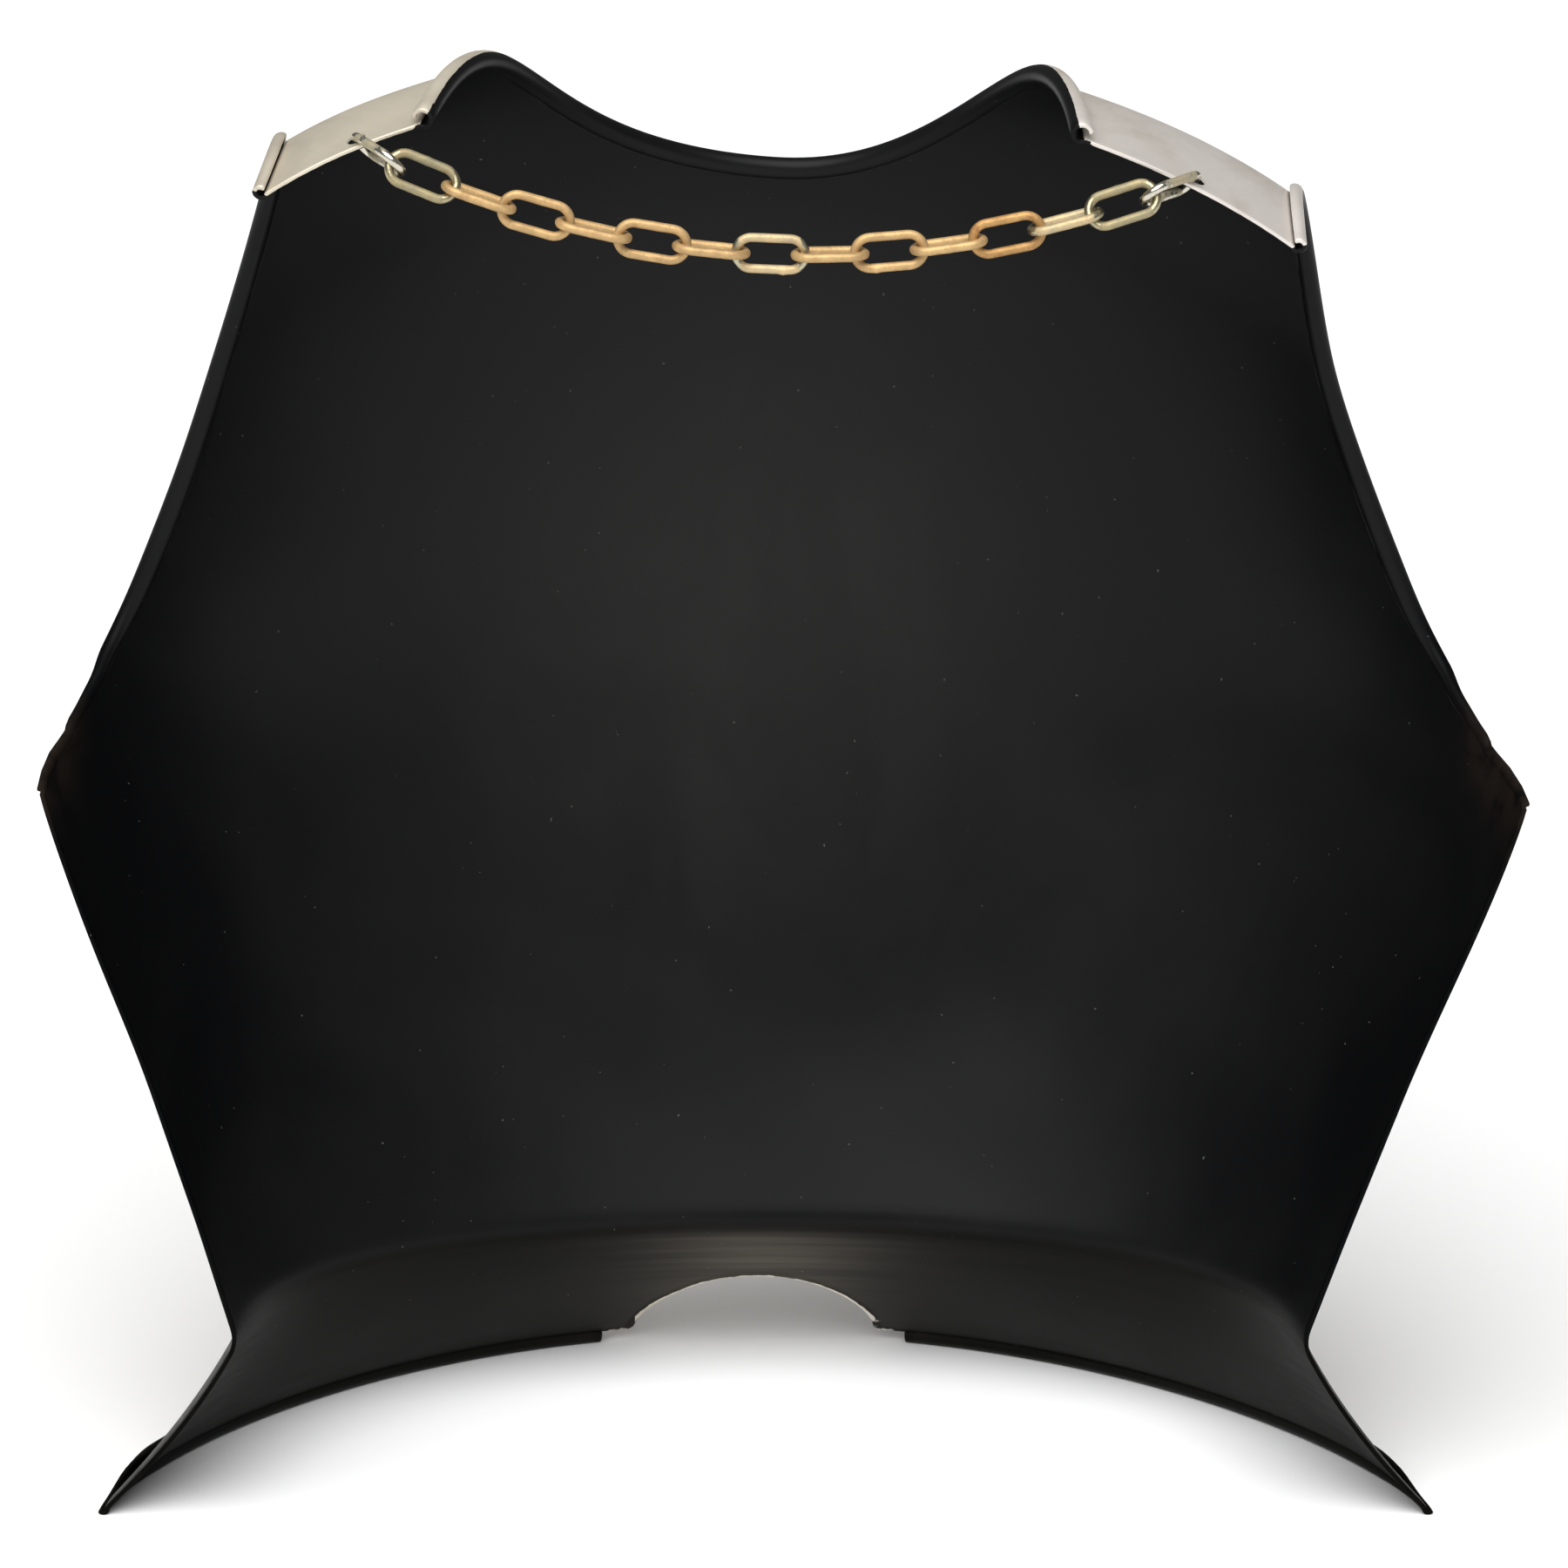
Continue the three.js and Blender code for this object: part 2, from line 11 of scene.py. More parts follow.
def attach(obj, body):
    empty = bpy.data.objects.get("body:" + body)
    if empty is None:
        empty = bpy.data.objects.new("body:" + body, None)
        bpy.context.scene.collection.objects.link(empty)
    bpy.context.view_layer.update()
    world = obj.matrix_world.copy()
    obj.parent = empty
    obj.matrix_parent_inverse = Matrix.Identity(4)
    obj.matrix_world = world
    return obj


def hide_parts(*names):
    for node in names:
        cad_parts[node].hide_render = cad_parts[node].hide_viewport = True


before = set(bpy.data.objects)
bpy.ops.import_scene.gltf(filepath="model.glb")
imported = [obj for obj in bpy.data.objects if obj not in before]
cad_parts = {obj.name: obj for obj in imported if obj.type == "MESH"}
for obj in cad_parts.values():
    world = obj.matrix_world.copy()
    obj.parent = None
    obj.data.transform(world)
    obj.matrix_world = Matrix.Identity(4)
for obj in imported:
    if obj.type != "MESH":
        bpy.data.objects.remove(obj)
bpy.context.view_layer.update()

# The part's own origin in the frame: everything below is in millimetres from it
MM = 0.001
SHIFT = np.array([1.2502, 58.4141, 0.0])


# Camera
def make_camera():
    target = np.array([0.0, -40.0, 200.4]) + SHIFT
    distance = 1700.0
    azimuth, elevation, roll = map(math.radians, (177.4, 18.0, 1.09))
    back = np.array([
        math.sin(azimuth) * math.cos(elevation),
        -math.cos(azimuth) * math.cos(elevation),
        math.sin(elevation),
    ])
    right = np.cross(-back, [0.0, 0.0, 1.0])
    right /= np.linalg.norm(right)
    up = np.cross(right, -back)
    turned_right = right * math.cos(roll) + up * math.sin(roll)
    turned_up = -right * math.sin(roll) + up * math.cos(roll)
    data = bpy.data.cameras.new("camera")
    data.sensor_width = 36.0
    data.lens = 7119.0 / 1800.0 * 36.0
    data.shift_x = 9.0 / 1800.0
    data.shift_y = 1.0 / 1800.0
    data.clip_end = 50.0
    camera = bpy.data.objects.new("camera", data)
    bpy.context.scene.collection.objects.link(camera)
    place = Matrix.Identity(4)
    for column, axis in enumerate((turned_right, turned_up, back)):
        for row in range(3):
            place[row][column] = axis[row]
    place.translation = Vector((target + back * distance) * MM)
    camera.matrix_world = place
    bpy.context.scene.camera = camera


make_camera()

# Sizes of the plate
SHEET = 1.2
CHEST_WIDTH = 400.0
CHEST_DEPTH = 131.0
BODY_HEIGHT = 354.0
FLANGE_HEIGHT = 51.6
FLANGE_WIDTH = 370.0
FLANGE_DEPTH = 129.0
FLANGE_DISH = 3.0
FLANGE_BOW = 0.7
ARCH_WIDTH = 72.0
ARCH_SHARE = 0.54
ARCH_ROUND = 0.75
ARCH_COLUMN = 0.22
ROLL_GAP = 92.0

# Rolls: radii of the sheet's middle, and where a turn starts and how far it goes, in degrees
FLANGE_ROLL = 3.0
FLANGE_ROLL_START = 250.0
FLANGE_ROLL_TURN = 308.0
FLANGE_TIP_ROLL = 1.2
FLANGE_TIP_TURN = 160.0
FLANGE_TIP_START = 0.93
NECK_ROLL = 2.4
EDGE_ROLL_START = 225.0
EDGE_ROLL_TURN = 290.0
ARM_ROLL_LOW = 3.0
ARM_ROLL_HIGH = 1.6
ARM_ROLL_FADE = 0.7
ARM_TIP_ROLL = 1.0
ARM_TIP_TURN = 140.0
ARM_TIP_SHARE = 0.45

NECK_LEFT = 0.665
NECK_RIGHT = 0.547
NECK_LOW = 0.724
NECK_ROUND = 2.0
NECK_STEEP = 2.3
SHOULDER_LEFT = 0.992
SHOULDER_RIGHT = 1.0
ARMPIT = 0.37
FOLD_RADIUS = 4.5
FOLD_RISE = 0.0118

# Holes in the shoulders for the end links
HOLE = 5.2
HOLE_FROM_EDGE = 4.6
HOLE_ACROSS_LEFT = 0.4
HOLE_ACROSS_RIGHT = 0.5

# Kinds of rolled edge
NECK_KIND, ARM_KIND, FLANGE_KIND = 1, 2, 3

# Sections from the waist fold up the chest to the rear edge of the shoulders
SECTION_COLUMNS = ("along", "forward", "up", "wide", "depth", "tilt", "round", "lean", "sway")
SECTIONS = np.array([
    (0, 0.664, 0, 0.735, 0.664, 0, 2.3, 0, 0),
    (0.19, 0.87, 0.207, 0.85, 0.87, 0, 2.3, 0.003, -0.002),
    (0.37, 1, 0.456, 0.995, 1, 2, 2.2, 0.006, -0.003),
    (0.54, 0.969, 0.634, 0.97, 1.038, 18, 2.1, 0.014, -0.002),
    (0.71, 0.763, 0.849, 0.87, 0.87, 42, 2, 0.03, 0),
    (0.86, 0.382, 0.995, 0.887, 0.785, 68, 2, 0.041, -0.001),
    (1, -0.049, 0.999, 0.948, 1.01, 95.6, 2, 0.037, 0.0095),
])

# How far round each section the plate goes above the armpits, in degrees
ARMHOLE = np.array([
    (0.37, 90), (0.374, 81), (0.387, 74), (0.405, 69), (0.44, 65),
    (0.54, 60), (0.71, 57.8), (0.86, 48.6), (1, 44.8),
])


def mix(low, high, share):
    return low + (high - low) * share


def smooth(low, high, value):
    share = np.clip((value - low) / (high - low), 0.0, 1.0)
    return share * share * (3.0 - 2.0 * share)


def signed_power(value, power):
    return np.sign(value) * np.abs(value) ** power


def smooth_curve(xs, ys):
    """A smooth curve through the points of a table."""
    steps = np.diff(xs)
    slopes = np.diff(ys) / steps
    tangents = np.zeros(len(xs))
    blend = steps[:-1] / (steps[:-1] + steps[1:])
    tangents[1:-1] = mix(slopes[:-1], slopes[1:], blend)
    tangents[0] = 1.5 * slopes[0] - 0.5 * tangents[1]
    tangents[-1] = 1.5 * slopes[-1] - 0.5 * tangents[-2]

    def value_at(x):
        row = np.clip(np.searchsorted(xs, x, side="right") - 1, 0, len(xs) - 2)
        u = np.clip((x - xs[row]) / steps[row], 0.0, 1.0)
        return (
            (2 * u**3 - 3 * u**2 + 1) * ys[row]
            + (u**3 - 2 * u**2 + u) * steps[row] * tangents[row]
            + (3 * u**2 - 2 * u**3) * ys[row + 1]
            + (u**3 - u**2) * steps[row] * tangents[row + 1]
        )

    return value_at


section_curves = {
    name: smooth_curve(SECTIONS[:, 0], SECTIONS[:, i])
    for i, name in enumerate(SECTION_COLUMNS)
}
armhole_curve = smooth_curve(ARMHOLE[:, 0], ARMHOLE[:, 1])


def section_point(angle, along):
    at = {name: curve(along) for name, curve in section_curves.items()}
    power = 2.0 / at["round"]
    sideways = at["wide"] * CHEST_WIDTH / 2 * signed_power(np.sin(angle), power)
    inward = at["depth"] * CHEST_DEPTH * (1 - np.abs(np.cos(angle)) ** power)
    tilt = np.radians(at["tilt"])
    return np.stack([
        sideways + at["sway"] * CHEST_WIDTH,
        -at["forward"] * CHEST_DEPTH + np.cos(tilt) * inward,
        FLANGE_HEIGHT + at["up"] * BODY_HEIGHT - np.sin(tilt) * inward + at["lean"] * sideways,
    ], axis=-1)


def top_of_plate(across):
    neck = np.where(across > 0, NECK_LEFT, NECK_RIGHT)
    top = np.where(across > 0, SHOULDER_LEFT, SHOULDER_RIGHT)
    share = np.minimum(np.abs(across) / neck, 1.0)
    return top - (top - NECK_LOW) * (1 - share**NECK_ROUND) ** (1 / NECK_STEEP)


def plate_point(across, rise):
    across, rise = np.broadcast_arrays(np.asarray(across, float), np.asarray(rise, float))
    side = np.where(rise <= ARMPIT, ARMHOLE[0, 1], armhole_curve(rise))
    along = rise - (1 - top_of_plate(across)) * rise**3
    return section_point(np.radians(across * side), along)


# A column is counted from the middle: the arch ends at 4, the flange's roll begins at 5, the
# neck ends at 10 and the shoulder at 14
ARCH_END, ROLL_BEGIN, NECK_END, LAST = 4.0, 5.0, 10.0, 14.0


def column_share(column):
    index = np.abs(column)
    neck = np.where(column > 0, NECK_LEFT, NECK_RIGHT)
    after_arch = np.clip((index - ARCH_END) / (NECK_END - ARCH_END), 0, 1)
    share = mix(neck, 1.0, (index - NECK_END) / (LAST - NECK_END))
    share = np.where(
        index < NECK_END, mix(ARCH_COLUMN, neck, np.sin(after_arch * np.pi / 2)), share
    )
    share = np.where(index <= ARCH_END, ARCH_COLUMN * index / ARCH_END, share)
    return np.sign(column) * share


def flange_share(column):
    index = np.abs(column)
    arch = ARCH_WIDTH / FLANGE_WIDTH
    first_angle = math.asin(ROLL_GAP / FLANGE_WIDTH)
    outward = np.clip((index - ROLL_BEGIN) / (LAST - ROLL_BEGIN), 0, 1)
    share = np.sin(mix(first_angle, np.pi / 2, outward))
    share = np.where(index < ROLL_BEGIN, mix(arch, math.sin(first_angle), index - ARCH_END), share)
    share = np.where(
        index <= ARCH_END, arch * np.sin(np.clip(index / ARCH_END, 0, 1) * np.pi / 2), share
    )
    return np.sign(column) * share


def flange_reach(column):
    """How far down the flange goes: the arched cut-out ends in small fillets."""
    from_middle = np.abs(flange_share(column)) * FLANGE_WIDTH / ARCH_WIDTH
    start, end = 0.98, 1.061
    arch = np.clip(1 - np.minimum(from_middle, start) ** 2, 0, 1) ** ARCH_ROUND
    fillet = np.clip((end - from_middle) / (end - start), 0, 1) ** 2
    return 1 - ARCH_SHARE * arch * np.where(from_middle > start, fillet, 1.0)


def flange_roll(share):
    """Radius and turn of the flange's roll, which closes to its tips."""
    closed = smooth(FLANGE_TIP_START, 1, np.abs(share))
    radius = mix(FLANGE_ROLL, FLANGE_TIP_ROLL, closed)
    return radius, mix(FLANGE_ROLL_TURN, FLANGE_TIP_TURN, closed)


def flange_edge(share):
    radius, _ = flange_roll(share)
    outer = radius + SHEET / 2
    return np.stack([
        share * (FLANGE_WIDTH / 2 - outer),
        -(FLANGE_DEPTH - outer) * np.clip(1 - share**2, 0, 1) ** FLANGE_BOW,
        outer - radius * math.cos(math.radians(FLANGE_ROLL_START)),
    ], axis=-1)


def fold_point(share):
    angle = np.arcsin(np.clip(signed_power(share, SECTIONS[0, 6] / 2), -1, 1))
    return section_point(angle, np.zeros_like(share))


def fold_share(column):
    angle = np.radians(column_share(column) * ARMHOLE[0, 1])
    return signed_power(np.sin(angle), 2 / SECTIONS[0, 6])


def flange_point(column, down):
    column, down = np.broadcast_arrays(np.asarray(column, float), np.asarray(down, float))
    share = mix(fold_share(column), flange_share(column), down)
    fold, edge = fold_point(share), flange_edge(share)
    point = fold + (edge - fold) * down[..., None]
    run = edge - fold
    run[..., 2] = 0
    inward = -run / np.linalg.norm(run, axis=-1, keepdims=True)
    return point + inward * (FLANGE_DISH * 4 * down * (1 - down))[..., None]


def unevenness(point):
    """Slow hammer waves of a few tenths of a millimetre, away from the edges."""
    x, y, z = point[..., 0], point[..., 1], point[..., 2]
    wave = (
        0.22 * np.sin(x / 21.0 + 1.3) * np.sin(z / 27.0 + 0.4)
        + 0.16 * np.sin(x / 13.0 - z / 17.0 + 2.1)
        + 0.12 * np.sin(z / 11.0 + x / 31.0 - 0.7)
        + 0.10 * np.sin(y / 15.0 + z / 23.0)
    )
    return wave * smooth(60, 95, z)


def half_columns():
    return np.unique(np.concatenate([
        np.linspace(0, ARCH_END, 23),
        np.linspace(ARCH_END, ROLL_BEGIN, 6),
        np.linspace(ROLL_BEGIN, NECK_END, 38),
        np.linspace(NECK_END, LAST, 25),
        [LAST - 0.06, NECK_END - 0.12],
    ]))


def body_rises():
    low = np.linspace(0, ARMPIT, 42)
    high = mix(ARMPIT, 1, np.linspace(0, 1, 96) ** 1.3)[1:-1]
    return np.concatenate([[FOLD_RISE], low[low > FOLD_RISE * 1.3], high, [0.9975, 1.0]])


class Sheet:
    """The sheet's middle surface: one grid from the flange's lower edge to the top, and rolls."""

    def __init__(self):
        half = half_columns()
        self.columns = np.concatenate([-half[:0:-1], half])
        shares = column_share(self.columns)
        reach = flange_reach(self.columns)
        run = flange_point(self.columns, 1.0) - flange_point(self.columns, 0.0)
        fold_down = np.minimum(FOLD_RADIUS / np.linalg.norm(run, axis=-1), 0.2)
        rows = []
        for step in np.concatenate([[0, 0.012], np.linspace(0.06, 1, 15)]):
            rows.append(flange_point(self.columns, mix(reach, fold_down, step)))
        below, above = rows[-1], plate_point(shares, FOLD_RISE)
        corner = flange_point(self.columns, 0.0)
        for u in (0.2, 0.4, 0.6, 0.8):
            rows.append((1 - u) ** 2 * below + 2 * u * (1 - u) * corner + u**2 * above)
        rises = body_rises()
        self.armpit_row = len(rows) + int(np.argmin(np.abs(rises - ARMPIT)))
        rows += [plate_point(shares, rise) for rise in rises]
        grid = np.array(rows)
        self.row_count, self.column_count = grid.shape[:2]
        grid = grid + grid_normals(grid) * unevenness(grid)[..., None]
        self.normals = grid_normals(grid).reshape(-1, 3)
        self.points = [tuple(p) for p in grid.reshape(-1, 3)]
        self.roll_angle = [-1.0] * len(self.points)
        self.edge_kind = [0] * len(self.points)
        self.grid_count = len(self.points)
        self.rear_edge = np.zeros((self.row_count, self.column_count))
        self.rear_edge[-1, np.abs(self.columns) > NECK_END + 0.01] = 1.0
        self.rear_edge = self.rear_edge.ravel()
        self.creased = np.zeros((self.row_count, self.column_count))
        self.creased[self.armpit_row + 3 :, [0, -1]] = 1.0
        self.creased[-1, np.abs(self.columns) < NECK_END] = 1.0
        self.creased = self.creased.ravel()
        self.quads = []
        for row in range(self.row_count - 1):
            for column in range(self.column_count - 1):
                self.quads.append((
                    self.number(row, column), self.number(row, column + 1),
                    self.number(row + 1, column + 1), self.number(row + 1, column),
                ))
        self.add_rolls()

    def number(self, row, column):
        return row * self.column_count + column

    def add_rolls(self):
        top, last = self.row_count - 1, self.column_count - 1
        neck = [i for i in range(self.column_count) if abs(self.columns[i]) <= NECK_END]
        neck = [self.number(top, i) for i in reversed(neck)]
        left = [self.number(row, last) for row in range(self.armpit_row, self.row_count)]
        right = [self.number(row, 0) for row in range(top, self.armpit_row - 1, -1)]
        radius, turn = arm_roll(np.linspace(0, 1, len(left)))
        for edge, edge_radius, edge_turn, kind in (
            (neck, NECK_ROLL, EDGE_ROLL_TURN, NECK_KIND),
            (left, radius, turn, ARM_KIND),
            (right, radius[::-1], turn[::-1], ARM_KIND),
        ):
            outside = self.normals[edge]
            self.add_roll(edge, outside, EDGE_ROLL_START, edge_radius, edge_turn, kind)
        for side in (-1, 1):
            low = np.flatnonzero(self.columns * side >= ROLL_BEGIN).tolist()
            place = np.array([self.points[i] for i in low])
            outside = np.cross(line_directions(place), [0.0, 0.0, 1.0])
            radius, turn = flange_roll(flange_share(self.columns[low]))
            self.add_roll(low, outside, FLANGE_ROLL_START, radius, turn, FLANGE_KIND)

    def add_roll(self, edge, outside, start, radius, turn, kind, steps=24):
        """Turns the sheet over along an edge, outwards, into a hollow roll."""
        place = np.array([self.points[i] for i in edge])
        radius, turn = (np.broadcast_to(value, len(edge)) for value in (radius, turn))
        tangent = line_directions(place)
        ahead = np.cross(tangent, outside)
        ahead /= np.linalg.norm(ahead, axis=-1, keepdims=True)
        outside = np.cross(ahead, tangent)

        def around(angle):
            turned = np.radians(angle)
            return (ahead.T * np.cos(turned) * radius + outside.T * np.sin(turned) * radius).T

        centre = place - around(np.full(len(edge), start))
        lines = [list(edge)]
        for step in range(1, steps + 1):
            angle = start + turn * step / steps
            lines.append(list(range(len(self.points), len(self.points) + len(edge))))
            self.points.extend(tuple(p) for p in centre + around(angle))
            self.roll_angle.extend(angle)
            self.edge_kind.extend([kind] * len(edge))
        for low, high in zip(lines, lines[1:]):
            for i in range(len(edge) - 1):
                self.quads.append((low[i], high[i], high[i + 1], low[i + 1]))


def arm_roll(share):
    """Radius and turn of an armhole's roll, which closes to a tip at the armpit."""
    full = smooth(0, ARM_TIP_SHARE, share)
    radius = mix(ARM_ROLL_LOW, ARM_ROLL_HIGH, share**ARM_ROLL_FADE)
    return mix(ARM_TIP_ROLL, radius, full), mix(ARM_TIP_TURN, EDGE_ROLL_TURN, full)


def grid_normals(points):
    along = np.gradient(points, axis=0)
    beside = np.gradient(points, axis=1)
    normals = np.cross(beside, along)
    return normals / np.linalg.norm(normals, axis=-1, keepdims=True)


def line_directions(place):
    tangent = np.vstack([place[1:], place[-1:]]) - np.vstack([place[:1], place[:-1]])
    return tangent / np.linalg.norm(tangent, axis=-1, keepdims=True)


sheet = Sheet()
points = np.array(sheet.points)
quads = np.array(sheet.quads)
roll_angle = np.array(sheet.roll_angle)
edge_kind = np.array(sheet.edge_kind)


# The rounded rim: where its layers stand, in degrees, and how far it swells past the edge
RIM_ANGLES = (54, 18, -18, -54)
RIM_BULGE = 0.28


def thicken(points, quads):
    """The closed body: an outer and an inner face, and rounded rims along the free edges."""
    normals = np.zeros_like(points)
    diagonal = np.cross(
        points[quads[:, 2]] - points[quads[:, 0]], points[quads[:, 3]] - points[quads[:, 1]]
    )
    diagonal /= np.linalg.norm(diagonal, axis=-1, keepdims=True) + 1e-12
    for corner in range(4):
        np.add.at(normals, quads[:, corner], diagonal)
    normals /= np.linalg.norm(normals, axis=-1, keepdims=True)
    used = set()
    for quad in quads.tolist():
        used.update((quad[i], quad[(i + 1) % 4]) for i in range(4))
    free = [(a, b) for a, b in used if (b, a) not in used]
    after = dict(free)
    before = {b: a for a, b in free}
    count = len(points)
    vertices = [points + normals * SHEET / 2, points - normals * SHEET / 2]
    faces = [tuple(q) for q in quads.tolist()]
    faces += [tuple(i + count for i in reversed(q)) for q in quads.tolist()]
    rim = sorted(after)
    place = {v: i for i, v in enumerate(rim)}
    tangent = points[[after[v] for v in rim]] - points[[before[v] for v in rim]]
    outward = np.cross(tangent, normals[rim])
    outward /= np.linalg.norm(outward, axis=-1, keepdims=True)
    angles = np.radians(RIM_ANGLES)
    for angle in angles:
        vertices.append(
            points[rim]
            + normals[rim] * SHEET / 2 * math.sin(angle)
            + outward * RIM_BULGE * math.cos(angle)
        )
    layers = len(angles)

    def rim_number(v, layer):
        if layer == 0:
            return v
        if layer == layers + 1:
            return v + count
        return 2 * count + (layer - 1) * len(rim) + place[v]

    for a, b in free:
        for layer in range(layers + 1):
            faces.append((
                rim_number(b, layer), rim_number(a, layer),
                rim_number(a, layer + 1), rim_number(b, layer + 1),
            ))
    return np.vstack(vertices), faces, count, rim


vertices, faces, sheet_count, rim = thicken(points, quads)


# How far round each kind of roll the paint goes, in degrees: none, neck, armhole, flange. It
# stops sooner at the neck roll's ends and wraps the flange's ends, over these places across.
PAINT_ENDS = np.array([0.0, 440.0, 412.0, 410.0])
PAINT_BLEND = 8.0
NECK_TAPER = 45.0
NECK_TAPER_FROM, NECK_TAPER_TO = 55, 85
TIP_WRAP = 200.0
TIP_WRAP_FROM, TIP_WRAP_TO = 145, 165

# The paint reaches a little over the edges, further at the flange's ends, not on the shoulders
OVERSPRAY = 2.5
OVERSPRAY_BLEND = 0.8
END_OVERSPRAY = 12.0
END_OVERSPRAY_FROM, END_OVERSPRAY_TO = 130, 150
END_OVERSPRAY_TOP = FLANGE_HEIGHT + 6
SPRAY_TOP = 300.0

# How painted each of the rim's layers is along the bare rear edge of the shoulders
REAR_RIM_PAINT = (0.0, 0.0, 0.3, 0.8)

# A rim's wear and sheen reach this far from it
RIM_REACH = 12.0


# What the material reads at each vertex
def vertex_values():
    rim_total = len(rim)
    source = np.concatenate([np.arange(sheet_count), np.arange(sheet_count)] + [rim] * len(RIM_ANGLES))
    tree = KDTree(rim_total)
    for i, v in enumerate(rim):
        tree.insert(points[v], i)
    tree.balance()
    near = np.array([tree.find(p)[2] for p in points])
    rear_edge = np.zeros(sheet_count)
    rear_edge[: sheet.grid_count] = sheet.rear_edge
    out, height = np.abs(points[:, 0]), points[:, 2]
    at_ends = smooth(END_OVERSPRAY_FROM, END_OVERSPRAY_TO, out) * (height < END_OVERSPRAY_TOP)
    reach = OVERSPRAY + END_OVERSPRAY * at_ends
    beyond_spray = smooth(reach - OVERSPRAY_BLEND, reach + OVERSPRAY_BLEND, near)
    sprayed = (1.0 - beyond_spray) * (height < SPRAY_TOP)
    rims = [np.where(rear_edge[rim] > 0, coated, 1.0) for coated in REAR_RIM_PAINT]
    coat = np.concatenate([sprayed, np.ones(sheet_count)] + rims)
    angle = roll_angle[source]
    neck_end = (edge_kind == NECK_KIND) * smooth(NECK_TAPER_FROM, NECK_TAPER_TO, out)
    flange_end = (edge_kind == FLANGE_KIND) * smooth(TIP_WRAP_FROM, TIP_WRAP_TO, out)
    ends_at = (PAINT_ENDS[edge_kind] - NECK_TAPER * neck_end + TIP_WRAP * flange_end)[source]
    beyond = smooth(ends_at - PAINT_BLEND, ends_at + PAINT_BLEND, angle)
    inner_paint = coat * np.where(angle < 0, 1.0, 1.0 - beyond)
    on_outer = np.arange(len(vertices)) < sheet_count
    outer_paint = np.where(edge_kind[source] > 0, 1.0, coat)
    paint = np.where(on_outer, outer_paint, inner_paint)
    crease = np.zeros(sheet_count)
    crease[: sheet.grid_count] = sheet.creased
    return paint, 1.0 - np.minimum(near, RIM_REACH)[source] / RIM_REACH, crease[source]


paint_value, rim_value, crease_value = vertex_values()


def make_object(name, vertices, faces, material):
    mesh = bpy.data.meshes.new(name)
    mesh.from_pydata([tuple(v) for v in np.asarray(vertices)], [], faces)
    mesh.materials.append(material)
    mesh.polygons.foreach_set("use_smooth", [True] * len(mesh.polygons))
    mesh.update()
    piece = bpy.data.objects.new(name, mesh)
    bpy.context.scene.collection.objects.link(piece)
    return piece


# Node helpers
class Nodes:
    def __init__(self, name):
        self.material = bpy.data.materials.new(name)
        self.material.use_nodes = True
        self.tree = self.material.node_tree
        self.shader = self.tree.nodes["Principled BSDF"]

    def add(self, kind, **settings):
        node = self.tree.nodes.new(kind)
        for key, value in settings.items():
            setattr(node, key, value)
        return node

    def put(self, value, socket):
        if isinstance(value, bpy.types.NodeSocket):
            self.tree.links.new(value, socket)
        else:
            socket.default_value = value

    def attribute(self, name):
        return self.add("ShaderNodeAttribute", attribute_name=name).outputs["Fac"]

    def place(self, scale=(1, 1, 1)):
        """The place on the object in metres, times a scale."""
        node = self.add("ShaderNodeMapping")
        self.put(self.add("ShaderNodeTexCoord").outputs["Object"], node.inputs["Vector"])
        node.inputs["Scale"].default_value = scale
        return node.outputs["Vector"]

    def across(self):
        """The place across the object, in metres to the wearer's left."""
        node = self.add("ShaderNodeSeparateXYZ")
        self.put(self.place(), node.inputs[0])
        return node.outputs["X"]

    def noise(self, vector, scale, detail=3.0, rough=0.5, distortion=0.0):
        node = self.add("ShaderNodeTexNoise")
        self.put(vector, node.inputs["Vector"])
        node.inputs["Scale"].default_value = scale
        node.inputs["Detail"].default_value = detail
        node.inputs["Roughness"].default_value = rough
        node.inputs["Distortion"].default_value = distortion
        return node.outputs["Fac"]

    def math(self, operation, a, b=0.0, clamp=False):
        node = self.add("ShaderNodeMath", operation=operation, use_clamp=clamp)
        self.put(a, node.inputs[0])
        self.put(b, node.inputs[1])
        return node.outputs[0]

    def centred(self, noise, size):
        """A noise moved to swing about zero."""
        return self.math("MULTIPLY", self.math("SUBTRACT", noise, 0.5), size)

    def span(self, value, low, high, to_low=0.0, to_high=1.0):
        """Turns a range of values smoothly into another range."""
        node = self.add("ShaderNodeMapRange", interpolation_type="SMOOTHSTEP")
        self.put(value, node.inputs["Value"])
        ends = {"From Min": low, "From Max": high, "To Min": to_low, "To Max": to_high}
        for key, end in ends.items():
            self.put(end, node.inputs[key])
        return node.outputs["Result"]

    def blend(self, share, a, b, mode="MIX"):
        node = self.add("ShaderNodeMix", data_type="RGBA", blend_type=mode)
        self.put(share, node.inputs[0])
        for value, socket in ((a, node.inputs[6]), (b, node.inputs[7])):
            self.put(value if isinstance(value, bpy.types.NodeSocket) else (*value, 1.0), socket)
        return node.outputs[2]

    def mix(self, share, a, b):
        node = self.add("ShaderNodeMix", data_type="FLOAT")
        self.put(share, node.inputs[0])
        self.put(a, node.inputs[2])
        self.put(b, node.inputs[3])
        return node.outputs[0]

    def bump(self, height, distance, strength=1.0, normal=None):
        node = self.add("ShaderNodeBump")
        self.put(height, node.inputs["Height"])
        node.inputs["Distance"].default_value = distance
        node.inputs["Strength"].default_value = strength
        if normal is not None:
            self.put(normal, node.inputs["Normal"])
        return node.outputs["Normal"]

    def finish(self, color, metallic, roughness, normal):
        for value, name in (
            (color, "Base Color"), (metallic, "Metallic"), (roughness, "Roughness"), (normal, "Normal")
        ):
            self.put(value, self.shader.inputs[name])
        return self.material


